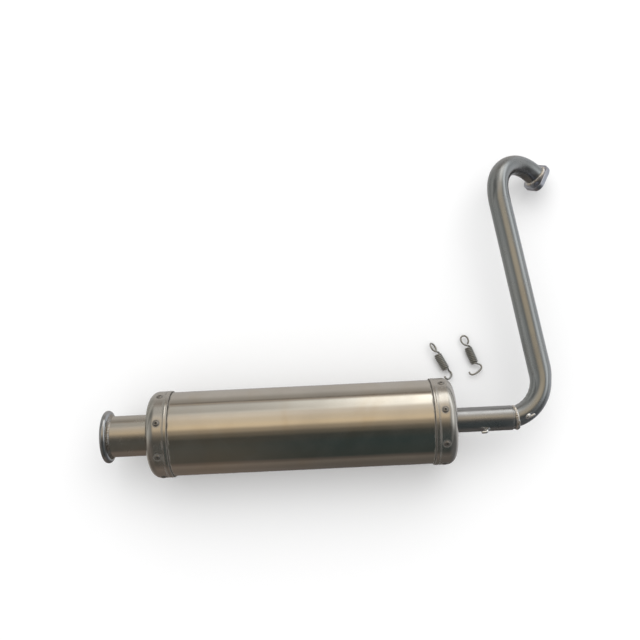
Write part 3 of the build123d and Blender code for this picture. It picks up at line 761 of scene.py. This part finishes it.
SILENCER, HEADER = "silencer", "header"
plan = [
    (sleeve, "can_sleeve", m_sleeve, SILENCER, "stainless_tinted"), (cap_in, "inlet_cap", m_cap, SILENCER, "stainless_cap"), (cap_out, "outlet_cap", m_cap, SILENCER, "stainless_cap"),
    (riv_in, "inlet_cap_rivets", m_rivet, SILENCER, "rivet_steel"), (riv_out, "outlet_cap_rivets", m_rivet, SILENCER, "rivet_steel"),
    (w_in, "inlet_weld", m_weld, SILENCER, "weld_bead"), (w_out, "outlet_weld", m_weld, SILENCER, "weld_bead"), (w_lip, "lip_weld", m_weld_shaded, SILENCER, "weld_bead"),
    (tube_in, "inlet_tube", m_inpipe, SILENCER, "pipe_steel"), (tube_out, "outlet_tube", m_out, SILENCER, "stainless_tinted"), (lip, "outlet_lip", m_lip, SILENCER, "lip_chrome"),
    (inlet_hooks, "inlet_hooks", m_hook, SILENCER, "hook_steel"), (header_hooks, "header_hooks", m_hook, HEADER, "hook_steel"),
    (pipe, "header_tube", m_pipe, HEADER, "pipe_steel"), (w_mit, "mitre_weld", m_weld, HEADER, "weld_bead"), (w_fl, "flange_weld", m_weld, HEADER, "weld_bead"),
    (sp_a, "spring_a", m_spring, "loose_spring_a", "spring_steel"), (sp_b, "spring_b", m_spring, "loose_spring_b", "spring_steel"),
]
for ob, node, mat, body, slot in plan:
    ob.data.materials.clear()
    ob.data.materials.append(mat)
    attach(ob, body)
    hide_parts(node)
for node, mat in (("header_stub", m_stub), ("flange", m_flange), ("inlet_cone", m_inner), ("core_tube", m_inner), ("steel_wool_wrap", m_wool), ("glass_packing", m_glass)):
    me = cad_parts[node].data
    me.materials.clear()
    me.materials.append(mat)

# ------------------------------------------------------------------ camera
cam_data = bpy.data.cameras.new("cam")
cam = bpy.data.objects.new("cam", cam_data)
scene.collection.objects.link(cam)
right = Vector((0.9987, -0.0447, -0.0230)).normalized()
fwd = Vector((-0.0098, 0.2754, -0.9613)).normalized()
up = right.cross(fwd).normalized()
right = fwd.cross(up).normalized()
cam.matrix_world = Matrix.Translation(Vector((-0.0161, -0.2955, 1.0273))) @ Matrix((right, up, -fwd)).transposed().to_4x4()
cam_data.sensor_width = 36.0
cam_data.lens = 36.0 * 796.75 / 640.0
cam_data.clip_start = 0.01
scene.camera = cam

# ------------------------------------------------------------------ floor, light, surroundings
S = 7.0
fme = bpy.data.meshes.new("floor")
fme.from_pydata([(-S, -S, -0.0003), (S, -S, -0.0003), (S, S, -0.0003), (-S, S, -0.0003)], [], [(0, 1, 2, 3)])
floor = bpy.data.objects.new("floor", fme)
scene.collection.objects.link(floor)
floor.visible_glossy = False
fm = bpy.data.materials.new("floor_paint")
fm.use_nodes = True
fb = fm.node_tree.nodes["Principled BSDF"]
fb.inputs["Base Color"].default_value = (0.93, 0.93, 0.93, 1)
fb.inputs["Roughness"].default_value = 0.95
fb.inputs["Specular IOR Level"].default_value = 0.05
floor.data.materials.append(fm)

world = bpy.data.worlds.new("studio")
scene.world = world
world.use_nodes = True
wt = world.node_tree
wt.nodes.clear()


def wnode(kind, **kw):
    n = wt.nodes.new(kind)
    for k, v in kw.items():
        setattr(n, k, v)
    return n


def wmath(op, a, b=None):
    n = wnode("ShaderNodeMath", operation=op)
    for i, v in enumerate((a, b)):
        if v is None:
            continue
        if isinstance(v, (int, float)):
            n.inputs[i].default_value = v
        else:
            wt.links.new(v, n.inputs[i])
    return n.outputs[0]


def ramp(fac, stops):
    n = wnode("ShaderNodeValToRGB")
    cr = n.color_ramp
    cr.interpolation = "EASE"
    while len(cr.elements) < len(stops):
        cr.elements.new(0.5)
    for el, (p, c) in zip(cr.elements, stops):
        el.position = (p + 90.0) / 360.0
        el.color = (*c, 1)
    wt.links.new(fac, n.inputs["Fac"])
    return n.outputs["Color"]


def wrange(v, a, b, c, d):
    n = wnode("ShaderNodeMapRange", interpolation_type="SMOOTHSTEP")
    wt.links.new(v, n.inputs["Value"])
    for k, x in zip(("From Min", "From Max", "To Min", "To Max"), (a, b, c, d)):
        n.inputs[k].default_value = x
    return n.outputs["Result"]


tc = wnode("ShaderNodeTexCoord")
sep = wnode("ShaderNodeSeparateXYZ")
wt.links.new(tc.outputs["Generated"], sep.inputs[0])
dx, dy, dz = sep.outputs
# Angle in the plane across the silencer: 0 at the near horizon, 90 overhead, 180 at the far one.
psi = wmath("MULTIPLY", wmath("ARCTAN2", dz, wmath("MULTIPLY", dy, -1.0)), 180 / math.pi)
psi = wmath("MODULO", wmath("ADD", psi, 450.0), 360.0)
across = ramp(wmath("DIVIDE", psi, 360.0), [
    (-89, (0.12, 0.11, 0.105)), (-42, (0.13, 0.118, 0.107)), (-23, (0.165, 0.147, 0.131)), (-14, (0.10, 0.09, 0.082)),
    (-5, (0.042, 0.052, 0.049)), (40, (0.035, 0.050, 0.050)), (60, (0.05, 0.055, 0.05)), (72, (0.14, 0.125, 0.10)),
    (84, (0.36, 0.30, 0.225)), (96, (0.80, 0.66, 0.47)), (110, (0.74, 0.64, 0.50)), (126, (0.80, 0.73, 0.64)),
    (137, (1.16, 1.13, 1.06)), (158, (1.30, 1.29, 1.24)), (164, (0.55, 0.50, 0.44)), (169, (0.22, 0.19, 0.165)),
    (176, (0.36, 0.34, 0.315)), (200, (0.55, 0.53, 0.51)), (269, (0.42, 0.41, 0.40))])
# Angle in the plane along it: 0 to the left, 90 overhead, 180 to the right.
chi = wmath("MULTIPLY", wmath("ARCTAN2", dz, wmath("MULTIPLY", dx, -1.0)), 180 / math.pi)
chi = wmath("MODULO", wmath("ADD", chi, 450.0), 360.0)
along_x = ramp(wmath("DIVIDE", chi, 360.0), [
    (-80, (0.60, 0.60, 0.58)), (-20, (0.34, 0.34, 0.32)), (10, (0.58, 0.58, 0.55)), (32, (0.42, 0.42, 0.40)),
    (55, (0.27, 0.275, 0.26)), (78, (0.26, 0.26, 0.24)), (102, (0.24, 0.235, 0.225)), (122, (0.30, 0.30, 0.29)),
    (134, (0.62, 0.63, 0.62)), (146, (1.10, 1.12, 1.12)), (158, (1.00, 1.03, 1.03)), (164, (0.58, 0.59, 0.59)), (171, (0.36, 0.37, 0.37)),
    (188, (0.66, 0.67, 0.68)), (225, (0.66, 0.67, 0.69)), (262, (0.48, 0.48, 0.50))])
wmix = wnode("ShaderNodeMix", data_type="RGBA")
wt.links.new(wrange(wmath("ABSOLUTE", dx), 0.20, 0.62, 0, 1), wmix.inputs["Factor"])
wt.links.new(across, wmix.inputs["A"])
# The near, low side stays dark at the ends too.
av = wnode("ShaderNodeVectorMath", operation="SCALE")
wt.links.new(along_x, av.inputs[0])
wt.links.new(wrange(dy, -0.50, 0.05, 0.20, 1.0), av.inputs["Scale"])
wt.links.new(av.outputs[0], wmix.inputs["B"])
# The bright strip behind grows stronger towards the right.
g = wmath("MULTIPLY", wrange(psi, 90 + 124, 90 + 140, 0, 1), wrange(psi, 90 + 160, 90 + 167, 1, 0))
gg = wmath("ADD", wmath("MULTIPLY", g, wmath("SUBTRACT", wrange(dx, -0.12, 0.16, 0.45, 1.38), 1.0)), 1.0)
vm = wnode("ShaderNodeVectorMath", operation="SCALE")
wt.links.new(wmix.outputs["Result"], vm.inputs[0])
wt.links.new(gg, vm.inputs["Scale"])
bg_refl = wnode("ShaderNodeBackground")
# The shade below the horizon turns browner towards the left.
warm = wmath("MULTIPLY", wrange(dx, -0.17, 0.02, 1, 0), wrange(psi, 90 + 30, 90 + 84, 1, 0))
vw = wnode("ShaderNodeVectorMath", operation="SCALE")
vw.inputs[0].default_value = (0.054, 0.037, 0.027)
wt.links.new(warm, vw.inputs["Scale"])
va = wnode("ShaderNodeVectorMath", operation="ADD")
wt.links.new(vm.outputs[0], va.inputs[0])
wt.links.new(vw.outputs[0], va.inputs[1])
wt.links.new(va.outputs[0], bg_refl.inputs["Color"])
bg_plain = wnode("ShaderNodeBackground")
bg_plain.inputs["Color"].default_value = (1.0, 1.0, 1.0, 1)
bg_plain.inputs["Strength"].default_value = 1.0
lp = wnode("ShaderNodeLightPath")
mixs = wnode("ShaderNodeMixShader")
wt.links.new(lp.outputs["Is Glossy Ray"], mixs.inputs[0])
wt.links.new(bg_plain.outputs[0], mixs.inputs[1])
wt.links.new(bg_refl.outputs[0], mixs.inputs[2])
wo = wnode("ShaderNodeOutputWorld")
wt.links.new(mixs.outputs[0], wo.inputs[0])


def area(name, place, to, size, power, glossy=False):
    ld = bpy.data.lights.new(name, "AREA")
    ld.shape = "RECTANGLE"
    ld.size, ld.size_y = size
    ld.energy = power
    ob = bpy.data.objects.new(name, ld)
    scene.collection.objects.link(ob)
    d = Vector(to) - Vector(place)
    ob.matrix_world = Matrix.Translation(Vector(place)) @ d.to_track_quat("-Z", "Y").to_matrix().to_4x4()
    ob.visible_glossy = glossy
    return ob


area("key", (0.5, 1.2, 1.9), (0, 0, 0), (2.4, 1.8), 14)
